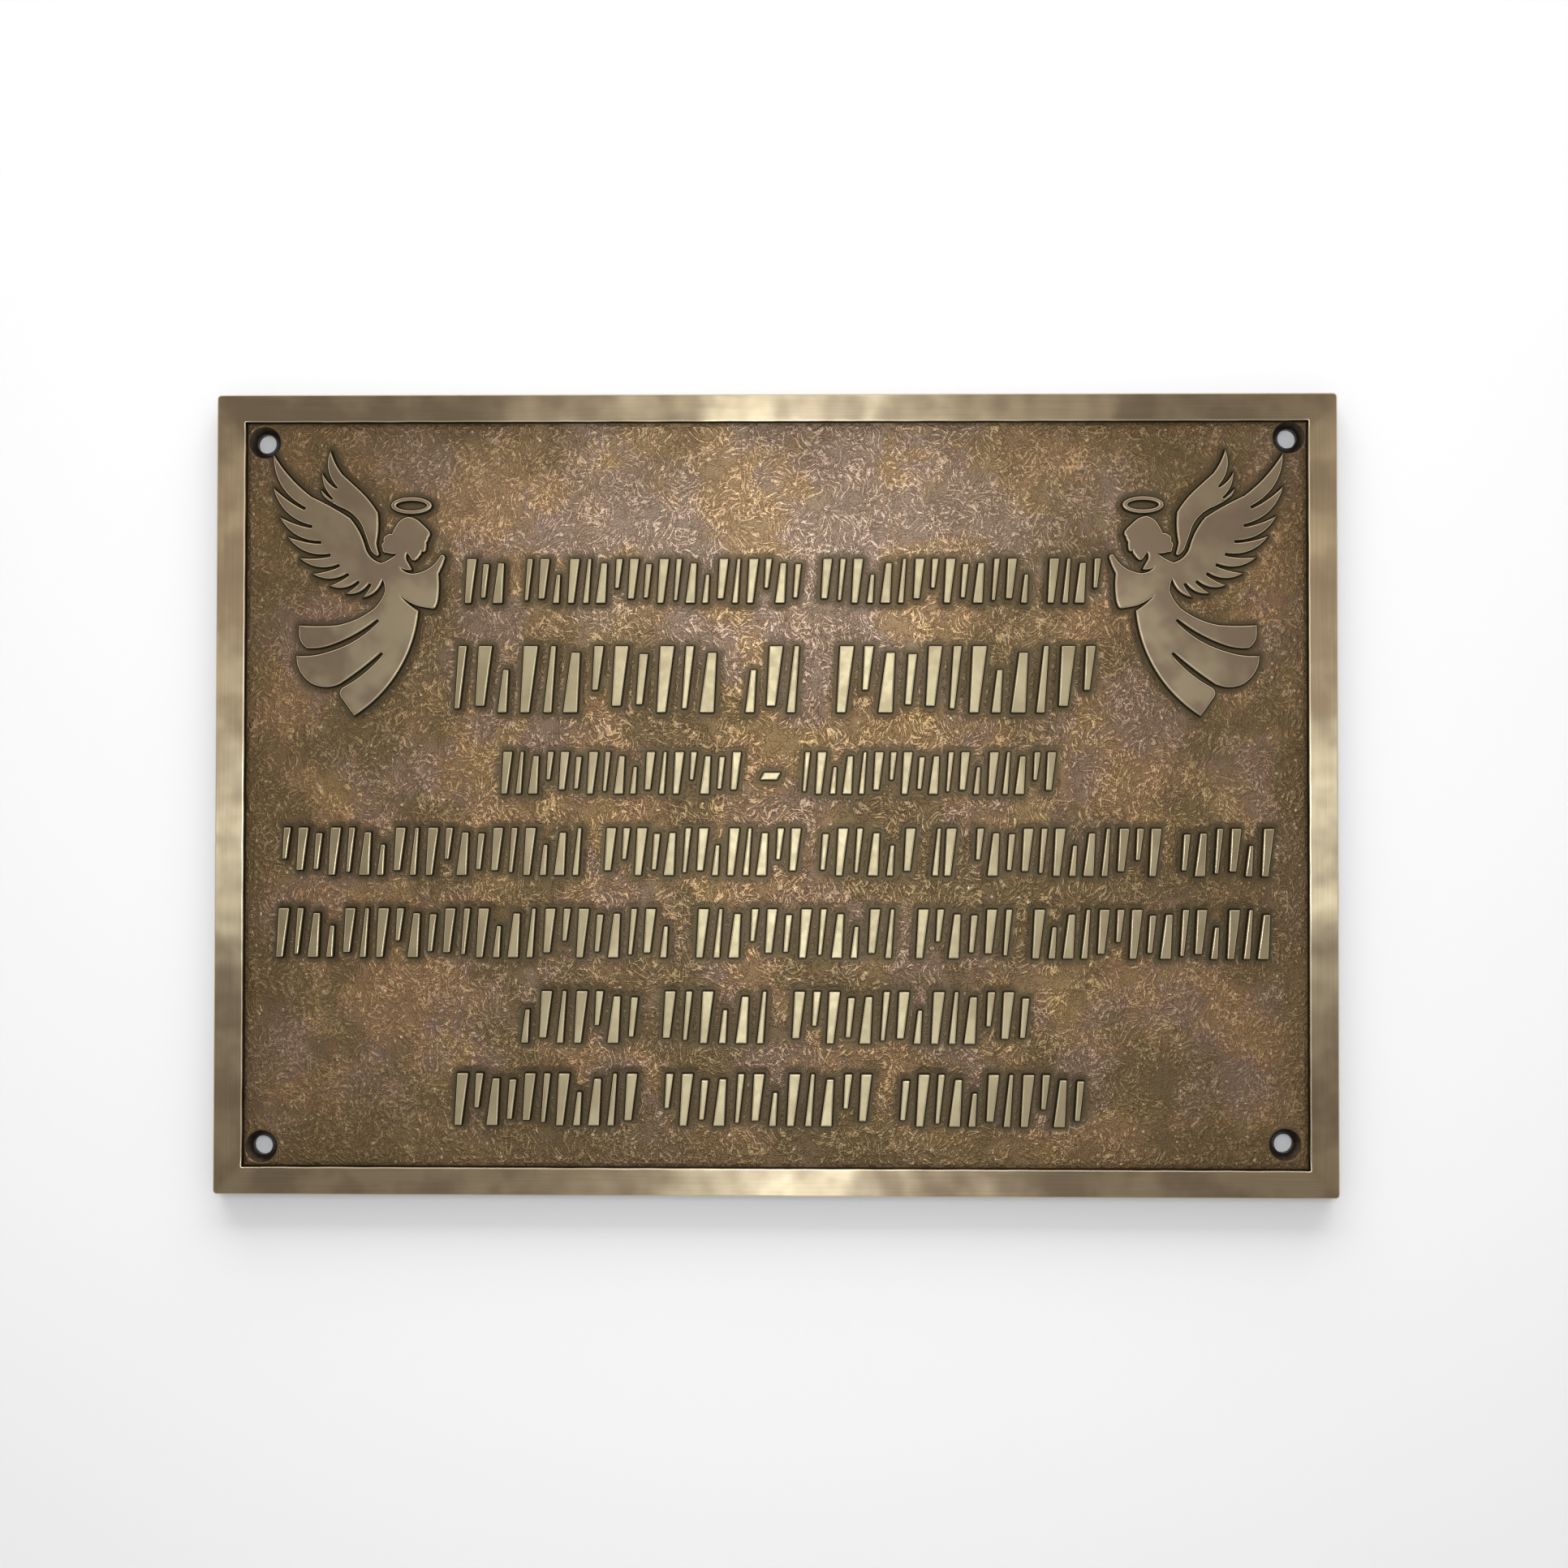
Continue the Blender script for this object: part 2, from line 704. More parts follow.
def body_rings():
    """Rings of the body from the foot of the field's step, over the border and down to the back."""
    half = np.array((FIELD_LENGTH / 2, FIELD_WIDTH / 2))
    rings = [(half, INNER_CORNER_RADIUS, FIELD_Z - HIDDEN_DEPTH)]
    for gone_in, to_rise in rounding(ROUND_SEGMENTS):
        out = INNER_ROUND * gone_in
        rings.append((half + out, INNER_CORNER_RADIUS + out, PLATE_THICKNESS - INNER_ROUND * to_rise))
    rings.append((half + INNER_ROUND + SUPPORT, INNER_CORNER_RADIUS + INNER_ROUND + SUPPORT, PLATE_THICKNESS))
    half = np.array((PLATE_LENGTH / 2, PLATE_WIDTH / 2))
    rings.append((half - EDGE_ROUND - SUPPORT, CORNER_RADIUS - EDGE_ROUND, PLATE_THICKNESS))
    for fallen, to_go in rounding(ROUND_SEGMENTS):
        into = EDGE_ROUND * to_go
        rings.append((half - into, CORNER_RADIUS - into, PLATE_THICKNESS - EDGE_ROUND * fallen))
    for gone_in, to_fall in rounding(ROUND_SEGMENTS):
        into = BACK_ROUND * gone_in
        rings.append((half - into, CORNER_RADIUS - into, BACK_ROUND * to_fall))
    rings.append((half - BACK_ROUND - SUPPORT, CORNER_RADIUS - BACK_ROUND - SUPPORT, 0))
    return [at_height(rectangle(*half, radius), height) for half, radius, height in rings]


def hole_rings(centre):
    """Rings of one screw hole, from the back up to the face."""
    angles = np.arange(HOLE_SEGMENTS) * math.tau / HOLE_SEGMENTS
    circle = np.column_stack((np.cos(angles), np.sin(angles)))
    cone_foot = FIELD_Z - (SINK_RADIUS - BORE_RADIUS)
    profile = (
        (BORE_RADIUS + BACK_ROUND, 0),
        (BORE_RADIUS, BACK_ROUND),
        (BORE_RADIUS, cone_foot - SUPPORT),
        (BORE_RADIUS + SUPPORT / 2, cone_foot + SUPPORT / 2),
        (SINK_RADIUS + SINK_OVERLAP, FIELD_Z - SINK_DROP),
    )
    return [at_height(centre + circle * radius, height) for radius, height in profile]


def wander(points):
    """How far each point of the field's step wanders, in smooth waves as on a hand-cast edge."""
    x, y = points.T / WANDER_SPAN
    waves = np.sin(1.7 * x + 0.6) * np.sin(2.3 * y + 1.1)
    waves += 0.6 * np.sin(4.1 * x - 1.9 * y)
    waves += 0.4 * np.sin(7.3 * y + 5.2 * x)
    return WANDER_SIZE * waves / 2


def plate_body(border, cast, sink):
    """The border, the sides, the back and the four holes."""
    rings = body_rings()
    count = len(rings[0])
    faces = walls(np.arange(count), count, len(rings), into_ring=True)
    kinds = [ON_BORDER] * len(faces)
    back_outlines = [rings[-1]]
    start = count * len(rings)
    back_points = list(range(start - count, start))
    for centre in holes().values():
        hole = hole_rings(centre)
        here = start + np.arange(HOLE_SEGMENTS)
        faces += walls(here, HOLE_SEGMENTS, len(hole), into_ring=True)
        back_outlines.append(hole[0])
        back_points += here.tolist()
        rings += hole
        start += HOLE_SEGMENTS * len(hole)
    kinds += [IN_HOLE] * (len(faces) - len(kinds))
    points = np.concatenate(rings)
    back = flat_cap(back_outlines, points[back_points], -1)
    faces += [[back_points[corner] for corner in triangle] for triangle in back]
    kinds += [ON_BACK] * len(back)
    step_points = points[:count * STEP_RINGS]
    step_points[:, 0] += wander(step_points[:, :2])
    step_points[:, 1] += wander(step_points[:, 1::-1])
    made = new_piece("plate_body", points, faces, border, cast, sink)
    made.data.polygons.foreach_set("material_index", kinds)


def outline_samples(outlines):
    """Close-set points along every outline, and the normals out of the forms."""
    places = []
    normals = []
    for outline in outlines:
        following = np.roll(outline, -1, axis=0)
        for start, end in zip(outline, following):
            along = end - start
            length = np.linalg.norm(along)
            if length < TINY:
                continue
            steps = max(1, math.ceil(length / OUTLINE_PITCH))
            shares = (np.arange(steps) + 0.5) / steps
            places.append(start + along * shares[:, None])
            normals.append(np.tile(np.array((along[1], -along[0])) / length, (steps, 1)))
    return np.concatenate(places), np.concatenate(normals)


def relief_distances(points, tree, normals, places):
    """Millimetres from each point to the nearest outline, below nought inside a form."""
    distances = np.empty(len(points))
    for index, (x, y) in enumerate(points):
        _, nearest, distance = tree.find((x, y, 0))
        dx = x - places[nearest, 0]
        dy = y - places[nearest, 1]
        outside = dx * normals[nearest, 0] + dy * normals[nearest, 1]
        distances[index] = math.copysign(distance / MM, outside)
    return distances


def field_quarter(name, side, end, hole, outlines, material):
    """One quarter of the sunk field, a net of points with the screw hole's rim let into it."""
    columns = round(FIELD_LENGTH / 2 / FIELD_PITCH)
    rows = round(FIELD_WIDTH / 2 / FIELD_PITCH)
    across = side * np.linspace(0, FIELD_LENGTH / 2, columns + 1)
    up = end * np.linspace(0, FIELD_WIDTH / 2, rows + 1)
    points = np.stack(np.meshgrid(across, up), axis=-1).reshape(-1, 2)
    corner = (np.arange(rows)[:, None] * (columns + 1) + np.arange(columns)).ravel()
    quads = np.column_stack((corner, corner + 1, corner + columns + 2, corner + columns + 1))
    if side * end < 0:
        quads = quads[:, ::-1]
    middles = points[quads].mean(axis=1)
    outside = np.linalg.norm(middles - hole, axis=1) > SINK_RADIUS
    rim = np.intersect1d(quads[outside], quads[~outside])
    away = points[rim] - hole
    points[rim] = hole + away / np.linalg.norm(away, axis=1, keepdims=True) * SINK_RADIUS
    used, numbered = np.unique(quads[outside], return_inverse=True)
    points = points[used]
    quads = numbered.reshape(-1, 4)
    vertices = np.column_stack((points, np.full(len(points), FIELD_Z)))
    made = new_piece(name, vertices, quads.tolist(), material)
    edge = np.minimum(FIELD_LENGTH / 2 - np.abs(points[:, 0]), FIELD_WIDTH / 2 - np.abs(points[:, 1])) / MM
    rim_gap = (np.linalg.norm(points - hole, axis=1) - SINK_RADIUS) / MM
    for label, numbers in zip(DISTANCES, (relief_distances(points, *outlines), edge, rim_gap)):
        attribute = made.data.attributes.new(label, "FLOAT", "POINT")
        attribute.data.foreach_set("value", numbers.astype(np.float32))
    return made


def add_node(tree, kind, inputs=None, **settings):
    """A node with its settings, and its inputs linked or set."""
    node = tree.nodes.new(kind)
    for name, value in settings.items():
        setattr(node, name, value)
    for key, value in (inputs or {}).items():
        feed(tree, node.inputs[key], value)
    return node


def feed(tree, socket, value):
    """A socket linked to another one, or set to a value."""
    if isinstance(value, bpy.types.NodeSocket):
        tree.links.new(value, socket)
    else:
        socket.default_value = value


def calc(tree, operation, first, second=0, third=0):
    inputs = {0: first, 1: second, 2: third}
    return add_node(tree, "ShaderNodeMath", inputs, operation=operation).outputs[0]


def vector_calc(tree, operation, *inputs):
    return add_node(tree, "ShaderNodeVectorMath", dict(enumerate(inputs)), operation=operation).outputs[0]


def split(tree, vector):
    """The X, Y and Z of a vector."""
    return add_node(tree, "ShaderNodeSeparateXYZ", {0: vector}).outputs


def eased(tree, value, low, high, from_value=0, to_value=1):
    """A smooth step of value from low to high."""
    inputs = {"Value": value, "From Min": low, "From Max": high, "To Min": from_value, "To Max": to_value}
    return add_node(tree, "ShaderNodeMapRange", inputs, interpolation_type="SMOOTHSTEP").outputs[0]


def mixed(tree, factor, first, second):
    """Two colours mixed; each is a socket or three numbers."""
    inputs = {0: factor}
    for key, colour in ((6, first), (7, second)):
        inputs[key] = colour if isinstance(colour, bpy.types.NodeSocket) else (*colour, 1)
    return add_node(tree, "ShaderNodeMix", inputs, data_type="RGBA").outputs[2]


def scaled(tree, vector, factor):
    """A colour or a place times a factor."""
    return add_node(tree, "ShaderNodeVectorMath", {0: vector, "Scale": factor}, operation="SCALE").outputs[0]


def stretched(tree, vector, by):
    return vector_calc(tree, "MULTIPLY", vector, by)


def noise(tree, place, scale, detail=0, roughness=0.5, shift=None, flat=True):
    """Smooth noise around one half; shift moves to another part of it."""
    if shift is not None:
        place = vector_calc(tree, "ADD", place, (*shift, 0))
    inputs = {"Vector": place, "Scale": scale, "Detail": detail, "Roughness": roughness}
    return add_node(tree, "ShaderNodeTexNoise", inputs, noise_dimensions="2D" if flat else "3D").outputs[0]


def bent(tree, place, scale, reach):
    """The place moved about by a smooth noise, so that what is drawn on it curls."""
    inputs = {"Vector": place, "Scale": scale, "Detail": 0}
    warp = add_node(tree, "ShaderNodeTexNoise", inputs, noise_dimensions="2D").outputs[1]
    return vector_calc(tree, "MULTIPLY_ADD", warp, (reach, reach, 0), place)


def curls(tree, place):
    """Thin curly ridges from 0 to 1, along the middle heights of a noise, broken up by another."""
    middle = calc(tree, "SUBTRACT", noise(tree, place, CURL_SCALE, shift=CURL_SHIFT), 0.5)
    line = eased(tree, calc(tree, "ABSOLUTE", middle), 0, CURL_BREADTH, 1, 0)
    gate = eased(tree, noise(tree, place, CURL_GATE_SCALE, shift=CURL_GATE_SHIFT), *CURL_GATE)
    return calc(tree, "MULTIPLY", line, gate)


def drifts(tree, place, angle, shift):
    """Short strokes from 0 to 1 that lie side by side at an angle, gathered in drifts."""
    inputs = {"Vector": place, "Angle": angle}
    turned = add_node(tree, "ShaderNodeVectorRotate", inputs, rotation_type="Z_AXIS").outputs[0]
    line = eased(tree, noise(tree, stretched(tree, turned, DRIFT_STRETCH), 1, shift=shift), *DRIFT_LINES)
    gate = eased(tree, noise(tree, place, DRIFT_GATE_SCALE, shift=(shift[1], -shift[0])), *DRIFT_GATE)
    return calc(tree, "MULTIPLY", line, gate)


def grain(tree, place):
    """Height from 0 to 1 of the field's grain; place is in millimetres."""
    soft = bent(tree, place, *DRIFT_BEND)
    height = calc(tree, "MULTIPLY", curls(tree, bent(tree, place, *CURL_BEND)), CURL_SHARE)
    for angle, shift in DRIFTS:
        height = calc(tree, "MAXIMUM", height, drifts(tree, soft, angle, shift))
    return height


def open_ground(tree, near, edge, rim):
    """How far the grain stands up: nought beside the relief, the step and the holes."""
    free = eased(tree, near, *RELIEF_CLEARANCE)
    free = calc(tree, "MULTIPLY", free, eased(tree, edge, *STEP_CLEARANCE))
    return calc(tree, "MULTIPLY", free, eased(tree, rim, *HOLE_CLEARANCE))


def grain_modifier():
    """A node group that raises the field's points by the same grain that its material shows."""
    group = bpy.data.node_groups.new("field_grain", "GeometryNodeTree")
    group.interface.new_socket("Geometry", in_out="INPUT", socket_type="NodeSocketGeometry")
    group.interface.new_socket("Geometry", in_out="OUTPUT", socket_type="NodeSocketGeometry")
    entry = group.nodes.new("NodeGroupInput")
    leave = group.nodes.new("NodeGroupOutput")
    place = scaled(group, group.nodes.new("GeometryNodeInputPosition").outputs[0], 1 / MM)
    values = []
    for label in DISTANCES:
        named = add_node(group, "GeometryNodeInputNamedAttribute", {"Name": label}, data_type="FLOAT")
        values.append(named.outputs[0])
    free = open_ground(group, *values)
    height = calc(group, "MULTIPLY", calc(group, "MULTIPLY", grain(group, place), free), GRAIN_HEIGHT)
    swell = calc(group, "SUBTRACT", noise(group, place, SWELL_SCALE, 2), 0.5)
    swell = calc(group, "MULTIPLY", calc(group, "MULTIPLY", swell, SWELL_HEIGHT), free)
    offset = add_node(group, "ShaderNodeCombineXYZ", {2: calc(group, "ADD", height, swell)}).outputs[0]
    raised = add_node(group, "GeometryNodeSetPosition", {"Geometry": entry.outputs[0], "Offset": offset})
    group.links.new(raised.outputs[0], leave.inputs[0])
    return group


def raise_grain(pieces):
    group = grain_modifier()
    for made in pieces:
        made.modifiers.new("grain", "NODES").node_group = group
    depsgraph = bpy.context.evaluated_depsgraph_get()
    for made in pieces:
        flat = made.data
        made.data = bpy.data.meshes.new_from_object(made.evaluated_get(depsgraph))
        made.modifiers.clear()
        bpy.data.meshes.remove(flat)
    bpy.data.node_groups.remove(group)


def new_material(name):
    material = bpy.data.materials.new(name)
    material.use_nodes = True
    tree = material.node_tree
    return material, tree, tree.nodes["Principled BSDF"]


def object_place(tree):
    """The place on the plate in millimetres."""
    return scaled(tree, tree.nodes.new("ShaderNodeTexCoord").outputs["Object"], 1 / MM)


def bump(tree, height, distance, before=None):
    inputs = {"Height": height, "Distance": distance, "Strength": 1}
    if before is not None:
        inputs["Normal"] = before
    return add_node(tree, "ShaderNodeBump", inputs).outputs[0]


def connect(tree, shader, **values):
    """The shader's inputs linked or set; an underscore in a name stands for a space."""
    for name, value in values.items():
        feed(tree, shader.inputs[name.replace("_", " ")], value)


def in_world(tree, direction):
    """A direction on the plate turned with the plate."""
    return add_node(
        tree, "ShaderNodeVectorTransform", {0: direction},
        vector_type="VECTOR", convert_from="OBJECT", convert_to="WORLD",
    ).outputs[0]


def attribute(tree, name):
    return add_node(tree, "ShaderNodeAttribute", attribute_name=name).outputs["Fac"]


def blotches(tree, place, scale, shift, low, high, share):
    """Where one colour of the patina lies, from 0 up to its share."""
    return eased(tree, noise(tree, place, scale, 4, 0.6, shift=shift), low, high, 0, share)


def patina(tree, place, edge):
    """The ground's mottled colour, more olive towards the border and lighter where it is rubbed."""
    tan = blotches(tree, place, *TAN_BLOTCHES)
    ground = mixed(tree, tan, GROUND_PURPLE, GROUND_TAN)
    ground = mixed(tree, blotches(tree, place, *GOLD_BLOTCHES), ground, GROUND_GOLD)
    ground = mixed(tree, blotches(tree, place, *OLIVE_BLOTCHES), ground, GROUND_OLIVE)
    ragged = calc(tree, "MULTIPLY", noise(tree, place, 0.06, 3, 0.6, shift=(-40, 66)), -20)
    outer = eased(tree, calc(tree, "ADD", edge, ragged), -10, 8, 0.7, 0)
    ground = mixed(tree, outer, ground, GROUND_OLIVE)
    worn = mixed(tree, tan, GROUND_WORN_MAUVE, GROUND_WORN_GOLD)
    return mixed(tree, worn_ground(tree, place), ground, worn)


def field_material():
    """Mottled brown patina with a raised curly grain, smooth and dark beside the relief."""
    material, tree, shader = new_material("field_patina")
    place = object_place(tree)
    near, edge, rim = (attribute(tree, label) for label in DISTANCES)
    free = open_ground(tree, near, edge, rim)
    ridges = calc(tree, "MULTIPLY", grain(tree, place), free)
    fine = noise(tree, place, 1.9, 2, 0.6)
    ground = patina(tree, place, edge)
    ground = mixed(tree, eased(tree, fine, 0.3, 0.75, 0.4, 0), ground, GROUND_SMOOTH)
    ground = mixed(tree, eased(tree, near, 0.8, 3.2, 0.85, 0), ground, GROUND_SMOOTH)
    broken = eased(tree, noise(tree, place, 0.9, 1, shift=(9, 4)), 0.3, 0.65, 0.15 * RIDGE_GAIN, RIDGE_GAIN)
    colour = scaled(tree, ground, calc(tree, "MULTIPLY_ADD", ridges, broken, 1))
    specks = eased(tree, noise(tree, place, 0.7, shift=(13, 77)), 0.82, 0.87, 0, 0.5)
    colour = mixed(tree, calc(tree, "MULTIPLY", specks, free), colour, SPECK)
    for distance, crevice in ((near, RELIEF_CREVICE), (edge, STEP_CREVICE), (rim, HOLE_CREVICE)):
        colour = mixed(tree, eased(tree, distance, *crevice), colour, CREVICE)
    depth = calc(tree, "ADD", calc(tree, "MULTIPLY", free, 0.5), 0.12)
    dips = calc(tree, "MULTIPLY", calc(tree, "SUBTRACT", fine, 0.5), depth)
    height = calc(tree, "ADD", ridges, dips)
    roughness = eased(tree, ridges, 0, 1, 0.5, 0.38)
    connect(
        tree, shader, Base_Color=colour, Metallic=1.0, Roughness=roughness,
        Normal=bump(tree, height, 0.2 * MM),
    )
    return material


def worn_ground(tree, place):
    """Where the patina is rubbed lighter: a ragged patch above the inscription, thinning out below it."""
    spread = vector_calc(tree, "DIVIDE", vector_calc(tree, "SUBTRACT", place, WORN_PLACE), WORN_REACH)
    away = add_node(tree, "ShaderNodeVectorMath", {0: spread}, operation="LENGTH").outputs["Value"]
    ragged = calc(tree, "SUBTRACT", noise(tree, place, 0.035, 4, 0.6, shift=(7, 60)), 0.5)
    ragged = calc(tree, "MULTIPLY", ragged, WORN_RAGGEDNESS)
    return eased(tree, calc(tree, "ADD", away, ragged), 0.2, 1.5, 0.75, 0)


def wall_shade(tree):
    """From 0 at the foot of the relief's walls to 1 near their tops."""
    height = split(tree, tree.nodes.new("ShaderNodeTexCoord").outputs["Object"])[2]
    return eased(tree, height, FIELD_Z, PLATE_THICKNESS - WALL_LIGHT_DROP)


def rim_shade(tree, steep, flat):
    """From 0 on the flat tops to 1 where the surface turns over into an edge."""
    normal = tree.nodes.new("ShaderNodeNewGeometry").outputs["Normal"]
    return eased(tree, split(tree, normal)[2], steep, flat, 1, 0)


def raised_material(name, metal, dull, turn, rough, dull_above=PLATE_WIDTH / MM):
    """Satin bronze of the relief: cloudy, its edges rubbed bright, its walls dark towards their feet."""
    material, tree, shader = new_material(name)
    place = object_place(tree)
    cloud = eased(tree, noise(tree, place, 0.045, 3, 0.55), 0.38, 0.62)
    kept = eased(tree, split(tree, place)[1], dull_above, dull_above + DULL_REACH, 1, DULL_SHARE)
    colour = mixed(tree, calc(tree, "MULTIPLY", cloud, kept), dull, metal)
    rim = rim_shade(tree, *turn)
    colour = mixed(tree, rim, colour, RIM_METAL)
    colour = mixed(tree, wall_shade(tree), CREVICE, colour)
    speckle = noise(tree, place, 5, 2, 0.6)
    limits = (rough - ROUGHNESS_CHANGE, rough + ROUGHNESS_CHANGE)
    roughness = eased(tree, noise(tree, place, 0.3, 2, shift=(3, 8)), 0.3, 0.7, *limits)
    roughness = calc(tree, "MULTIPLY", roughness, eased(tree, rim, 0, 1, 1, RUBBED_SHARE))
    connect(
        tree, shader, Base_Color=colour, Metallic=0.95, Roughness=roughness,
        Normal=bump(tree, speckle, 0.004 * MM),
    )
    return material, tree, shader


def angel_material():
    """The angels' champagne bronze, duller on the wings."""
    return raised_material(
        "angel_bronze", RAISED_METAL, RAISED_METAL_DULL, EDGE_TURN, ANGEL_ROUGHNESS, WINGS_DULL_ABOVE
    )[0]


def stroke_material():
    """The strokes' lighter bronze, its tops sanded along the rows."""
    material, tree, shader = raised_material(
        "stroke_bronze", STROKE_METAL, STROKE_METAL_DULL, STROKE_EDGE_TURN, STROKE_ROUGHNESS
    )
    upright = add_node(tree, "ShaderNodeCombineXYZ", {1: 1.0}).outputs[0]
    connect(tree, shader, Anisotropic=0.6, Tangent=in_world(tree, upright))
    return material


def border_material():
    """Bronze brushed along each side of the border, with soft smudges and bright edges."""
    material, tree, shader = new_material("brushed_bronze")
    place = object_place(tree)
    to_side, to_end = edge_gaps(tree, place)
    upright, across = brushing(tree, place, to_side, to_end)
    along_x = noise(tree, stretched(tree, place, (LINE_ALONG, LINE_ACROSS, 0)), 1, 2, 0.65)
    along_y = noise(tree, stretched(tree, place, (LINE_ACROSS, LINE_ALONG, 0)), 1, 2, 0.65)
    inputs = {0: upright, 2: along_x, 3: along_y}
    lines = add_node(tree, "ShaderNodeMix", inputs, data_type="FLOAT").outputs[0]
    cloud = eased(tree, noise(tree, place, 0.04, 3, 0.55), 0.38, 0.62)
    colour = mixed(tree, cloud, BORDER_METAL_DULL, BORDER_METAL)
    colour = scaled(tree, colour, eased(tree, lines, 0.3, 0.7, 0.95, 1.05))
    colour = stretched(tree, colour, mixed(tree, upright, WHITE, BORDER_SIDE_TINT))
    outer = eased(tree, calc(tree, "MINIMUM", to_side, to_end), *OUTER_PART, 1, 0)
    colour = mixed(tree, rim_shade(tree, *EDGE_TURN), colour, mixed(tree, outer, STEP_METAL, RIM_METAL))
    colour = mixed(tree, rim_shade(tree, *SIDE_TURN), colour, SIDE_METAL)
    colour = mixed(tree, calc(tree, "MAXIMUM", wall_shade(tree), outer), CREVICE, colour)
    roughness = eased(tree, noise(tree, place, 0.08, 2, 0.6, shift=(31, 5)), 0.3, 0.7, 0.38, 0.44)
    roughness = calc(tree, "MULTIPLY", roughness, eased(tree, upright, 0, 1, 1, 0.91))
    swell = bump(tree, noise(tree, place, 0.02, 1, shift=(80, 3)), 1.0 * MM)
    swell = bump(tree, noise(tree, place, 0.06, 1, shift=(-21, 14)), 0.3 * MM, swell)
    connect(
        tree, shader, Base_Color=colour, Metallic=1.0, Roughness=roughness, Anisotropic=0.95,
        Tangent=across, Normal=bump(tree, lines, 0.002 * MM, swell),
    )
    return material


def edge_gaps(tree, place):
    """Millimetres in from the plate's left or right side, and from its top or bottom end."""
    x, y, _ = split(tree, place)
    to_side = calc(tree, "SUBTRACT", PLATE_LENGTH / 2 / MM, calc(tree, "ABSOLUTE", x))
    to_end = calc(tree, "SUBTRACT", PLATE_WIDTH / 2 / MM, calc(tree, "ABSOLUTE", y))
    return to_side, to_end


def brushing(tree, place, to_side, to_end):
    """How far the brushing runs up the sides rather than along the ends, and the direction across it."""
    x, y, _ = split(tree, place)
    upright = eased(tree, calc(tree, "SUBTRACT", to_end, to_side), -MITRE, MITRE)
    along = calc(tree, "SUBTRACT", 1, upright)
    corner = calc(tree, "GREATER_THAN", calc(tree, "MULTIPLY", x, y))
    facing = calc(tree, "MULTIPLY_ADD", corner, -2, 1)
    sideways = calc(tree, "MULTIPLY", upright, facing)
    across = add_node(tree, "ShaderNodeCombineXYZ", {0: sideways, 1: along}).outputs[0]
    return upright, in_world(tree, across)


def sink_material():
    """Dark brown of the drilled cones and bores."""
    material, tree, shader = new_material("sink_bronze")
    place = object_place(tree)
    cloud = eased(tree, noise(tree, place, 0.5, 3, 0.6, flat=False), 0.35, 0.65)
    colour = mixed(tree, cloud, SINK_BROWN, tuple(1.6 * part for part in SINK_BROWN))
    connect(
        tree, shader, Base_Color=colour, Metallic=0.9, Roughness=0.36,
        Normal=bump(tree, noise(tree, place, 3, 2, flat=False), 0.01 * MM),
    )
    return material


def cast_material():
    """The plain back as it was cast: dark, dull and a little rough."""
    material, tree, shader = new_material("cast_bronze")
    place = object_place(tree)
    cloud = eased(tree, noise(tree, place, 0.05, 4, 0.6), 0.35, 0.65)
    colour = mixed(tree, cloud, BACK_BROWN, tuple(1.5 * part for part in BACK_BROWN))
    connect(
        tree, shader, Base_Color=colour, Metallic=0.7, Roughness=0.55,
        Normal=bump(tree, noise(tree, place, 1.2, 3, 0.6), 0.08 * MM),
    )
    return material


def floor_material():
    material, tree, shader = new_material("floor")
    place = object_place(tree)
    shade = eased(tree, noise(tree, place, 0.004, 2), 0.3, 0.7)
    colour = mixed(tree, shade, tuple(0.99 * part for part in FLOOR_WHITE), FLOOR_WHITE)
    connect(tree, shader, Base_Color=colour, Roughness=0.8, Specular_IOR_Level=0.2)
    return material


def build_floor():
    bpy.ops.mesh.primitive_circle_add(vertices=FLOOR_SEGMENTS, radius=FLOOR_RADIUS, fill_type="NGON")
    floor = bpy.context.object
    floor.name = "floor"
    floor.location.z = -FLOOR_DROP
    floor.data.materials.append(floor_material())
    return floor


def build_sky():
    """A soft room: bright low down, more so beyond the plate's top edge, and dim overhead."""
    world = bpy.data.worlds.new("room")
    bpy.context.scene.world = world
    world.use_nodes = True
    tree = world.node_tree
    direction = tree.nodes.new("ShaderNodeTexCoord").outputs["Generated"]
    low = eased(tree, split(tree, direction)[2], *SKY_CHANGE, SKY_LOW, SKY_HIGH)
    inputs = {0: direction, 1: SKY_LEAN}
    lean = add_node(tree, "ShaderNodeVectorMath", inputs, operation="DOT_PRODUCT").outputs["Value"]
    strength = calc(tree, "MULTIPLY", low, calc(tree, "ADD", lean, 1))
    connect(tree, tree.nodes["Background"], Strength=strength, Color=(*WHITE, 1))


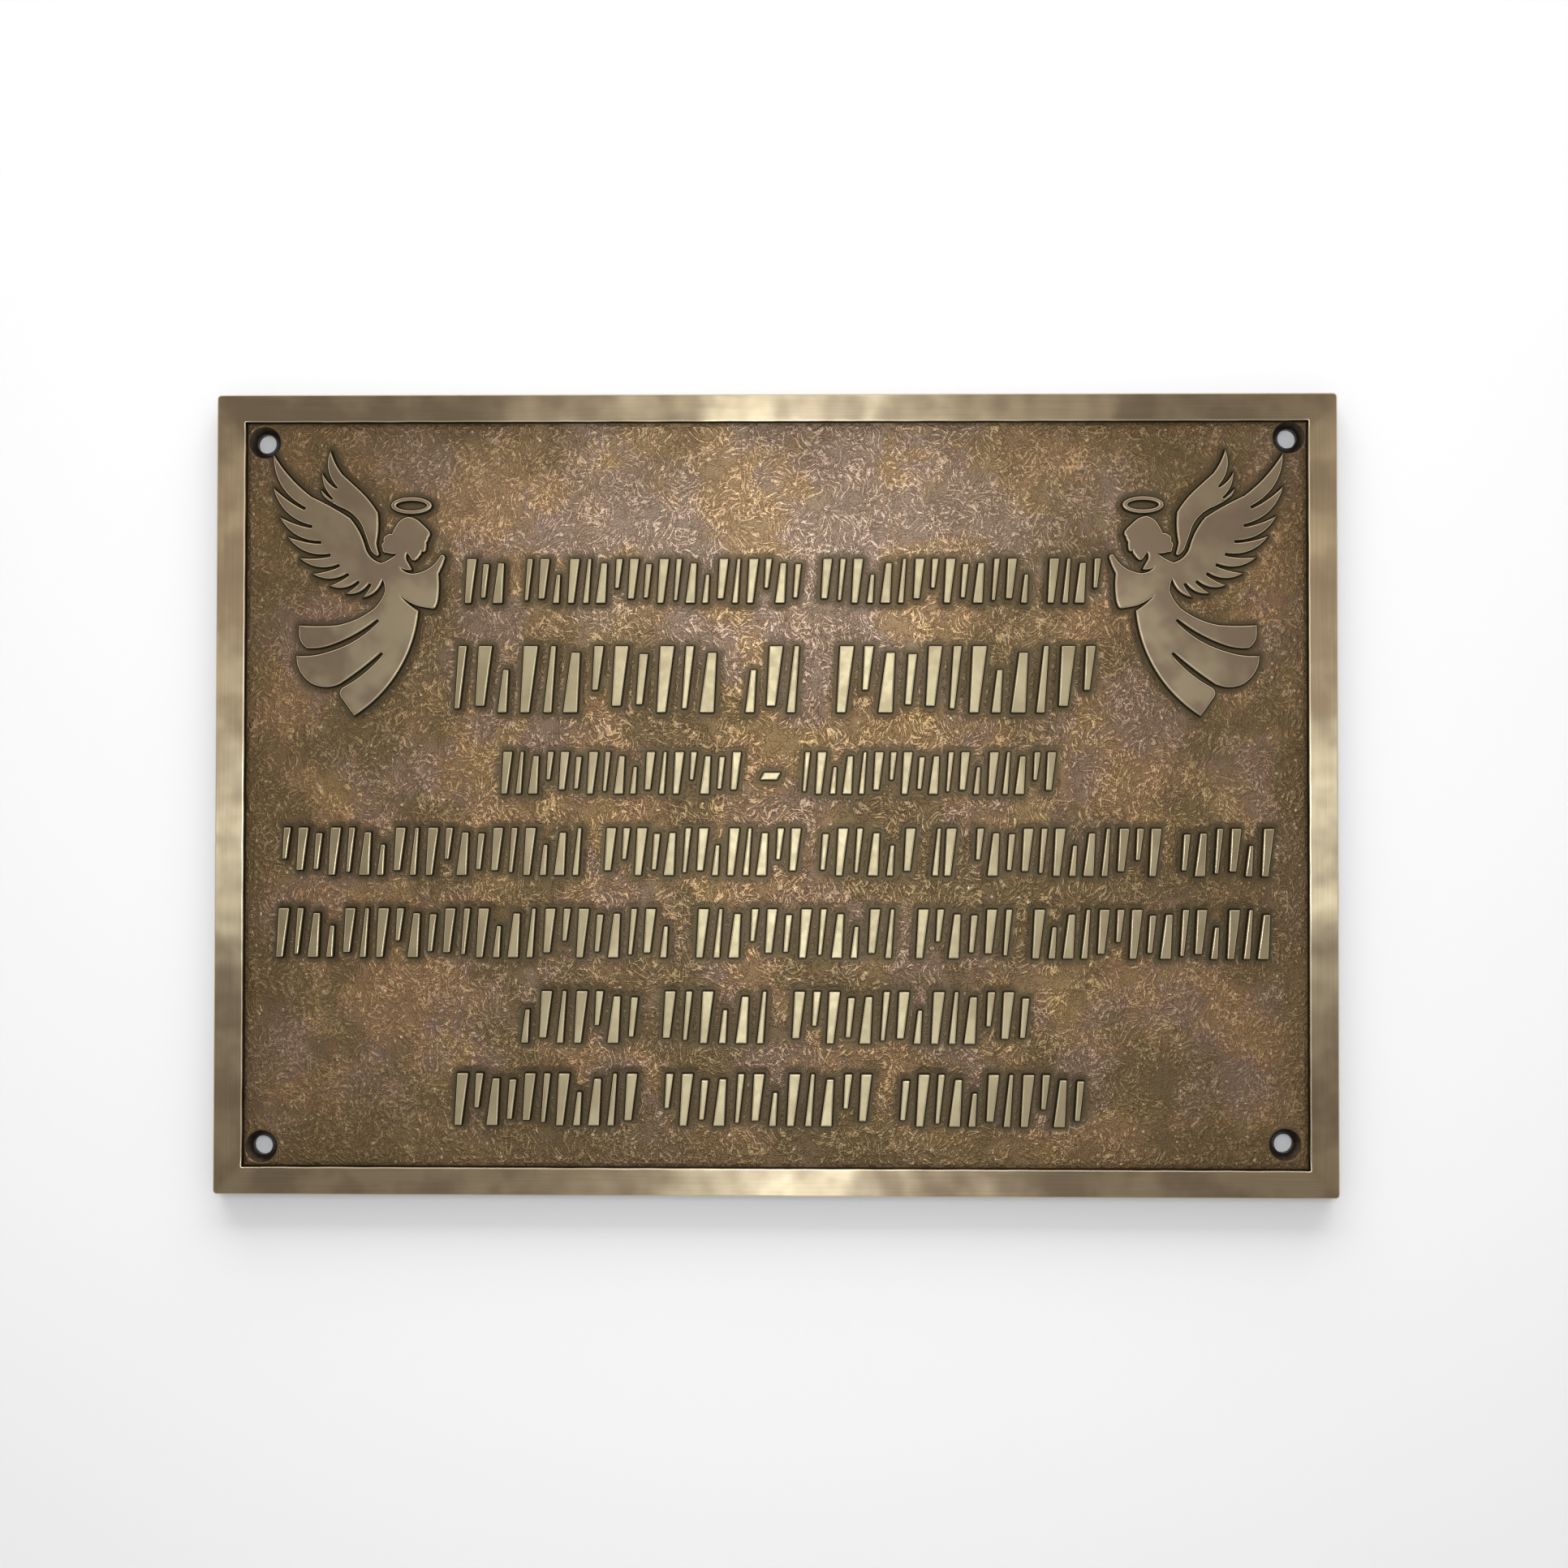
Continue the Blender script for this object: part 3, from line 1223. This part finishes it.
def add_light(name, place, target, size, power, colour):
    """A soft light, round, or a rectangle where size has a width and a height."""
    light = bpy.data.lights.new(name, "AREA")
    if isinstance(size, tuple):
        light.shape = "RECTANGLE"
        light.size, light.size_y = size
    else:
        light.shape = "DISK"
        light.size = size
    light.energy = power
    light.color = colour
    made = bpy.data.objects.new(name, light)
    made.location = place
    made.rotation_euler = (Vector(target) - Vector(place)).to_track_quat("-Z", "Y").to_euler()
    made.visible_camera = False
    bpy.context.scene.collection.objects.link(made)
    return made


def build_lights(floor):
    """Two lights overhead for the plate, and a low window that only draws its shadow on the floor."""
    add_light("key", KEY_PLACE, PLATE_MIDDLE, KEY_SIZE, KEY_POWER, KEY_COLOUR)
    add_light("glow", GLOW_PLACE, GLOW_TARGET, GLOW_SIZE, GLOW_POWER, WHITE)
    window = add_light("window", WINDOW_PLACE, PLATE_MIDDLE, WINDOW_SIZE, WINDOW_POWER, WINDOW_COLOUR)
    lit = bpy.data.collections.new("lit_by_window")
    lit.objects.link(floor)
    window.light_linking.receiver_collection = lit


def build_camera():
    data = bpy.data.cameras.new("camera")
    data.lens = LENS
    data.sensor_width = SENSOR
    camera = bpy.data.objects.new("camera", data)
    camera.location = CAMERA_PLACE
    camera.rotation_euler = [math.radians(angle) for angle in CAMERA_TURN]
    bpy.context.scene.collection.objects.link(camera)
    bpy.context.scene.camera = camera


def build_plate():
    forms = angels()
    finishes = dict.fromkeys(forms, angel_material())
    forms.update(stroke_rows())
    stroke_bronze = stroke_material()
    outlines = []
    for name, solids in forms.items():
        new_piece(name, *joined(solids), finishes.get(name, stroke_bronze))
        for solid in solids:
            outlines += solid
    places, normals = outline_samples(outlines)
    tree = KDTree(len(places))
    for index, (x, y) in enumerate(places):
        tree.insert((x, y, 0), index)
    tree.balance()
    ground = field_material()
    quarters = []
    for (side, end), hole in holes().items():
        name = f"field_{'top' if end > 0 else 'bottom'}_{'right' if side > 0 else 'left'}"
        quarters.append(field_quarter(name, side, end, hole, (tree, normals, places), ground))
    raise_grain(quarters)
    plate_body(border_material(), cast_material(), sink_material())


build_camera()
build_sky()
build_lights(build_floor())
build_plate()
bpy.context.scene.view_settings.view_transform = "Standard"
